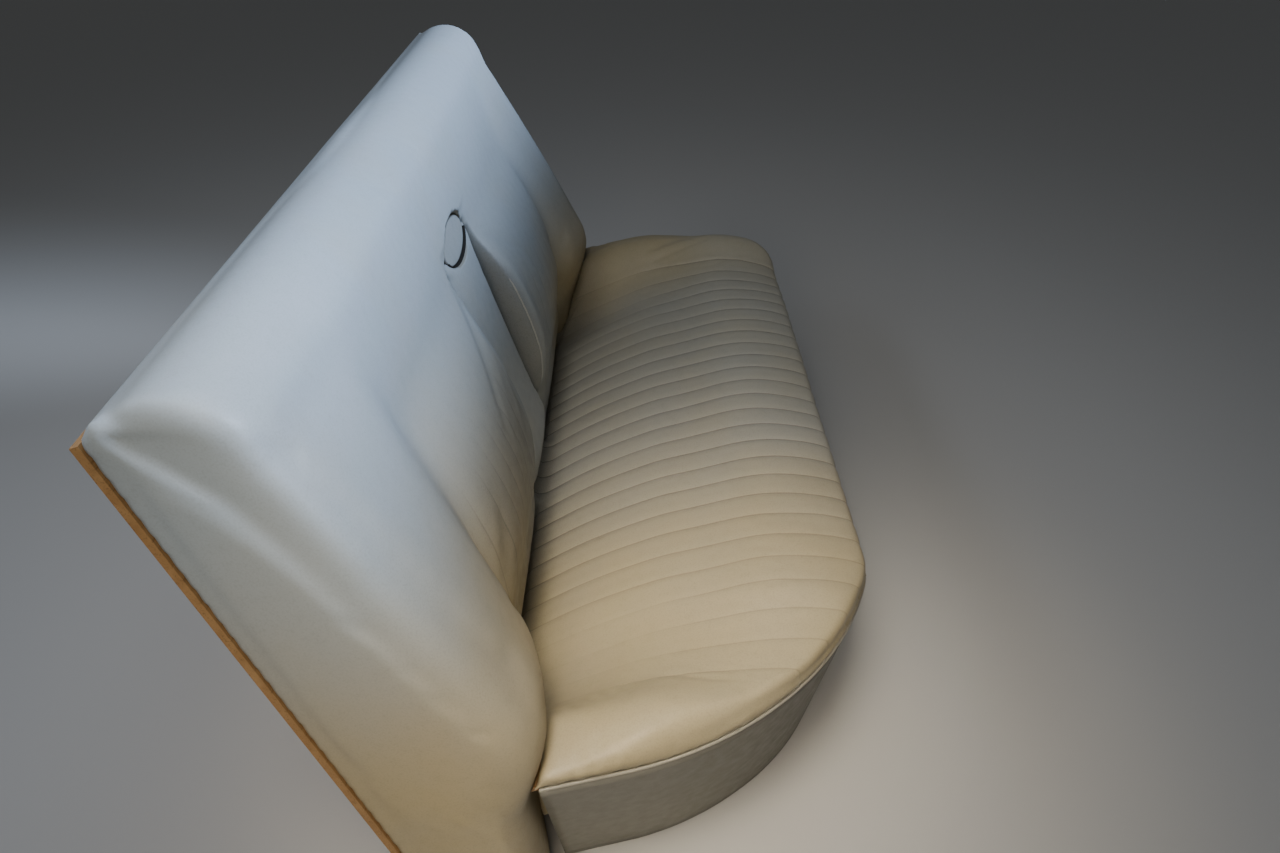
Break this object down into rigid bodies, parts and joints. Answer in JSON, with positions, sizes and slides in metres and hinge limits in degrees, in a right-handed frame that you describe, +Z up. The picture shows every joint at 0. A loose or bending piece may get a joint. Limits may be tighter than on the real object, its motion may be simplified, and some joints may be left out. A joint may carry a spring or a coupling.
{
  "type": "sedan rear bench seat",
  "caption": "Rear bench seat of a sedan: pleated cushion on a skirted sprung base, reclined winged backrest, fold-down centre armrest.",
  "frame": {"origin": "on the floor under the middle of the bench's bounding box", "axes": "+X across the bench to the sitter's left, -Y the way the seat faces, +Z up"},
  "size_m": [1.436, 0.804, 0.8057],
  "materials": {
    "cushion_leatherette": "satin",
    "backrest_leatherette": "satin",
    "skirt_leatherette": "satin",
    "plywood": "matte",
    "spring_steel": "satin",
    "zinc_steel": "satin",
    "painted_steel": "satin"
  },
  "bodies": {
    "bench": {"armrest_bracket_left": "zinc_steel", "armrest_bracket_right": "zinc_steel", "backrest_board": "plywood", "backrest_pad": "backrest_leatherette", "backrest_wing_left": "backrest_leatherette", "backrest_wing_right": "backrest_leatherette", "cushion_pad": "cushion_leatherette", "cushion_piping": "cushion_leatherette", "foot_front_left": "painted_steel", "foot_front_right": "painted_steel", "foot_rear_left": "painted_steel", "foot_rear_right": "painted_steel", "front_leg_left": "painted_steel", "front_leg_right": "painted_steel", "front_rail": "painted_steel", "hanger_hook_left": "zinc_steel", "hanger_hook_right": "zinc_steel", "rear_rail": "painted_steel", "rim_board_front": "plywood", "rim_board_left": "plywood", "rim_board_right": "plywood", "seat_springs": "spring_steel", "side_rail_left": "painted_steel", "side_rail_right": "painted_steel", "skirt_front": "skirt_leatherette", "skirt_left": "skirt_leatherette", "skirt_right": "skirt_leatherette", "top_rail": "painted_steel", "upright_left": "painted_steel", "upright_right": "painted_steel"},
    "armrest": {"armrest_pad": "backrest_leatherette", "armrest_pin": "zinc_steel"}
  },
  "joints": [
    {"name": "armrest_fold", "type": "hinge", "parent": "bench", "child": "armrest", "pos_m": [0, 0.13075, 0.26993], "axis": [1, 0, 0], "range_deg": [0, 86]}
  ]
}
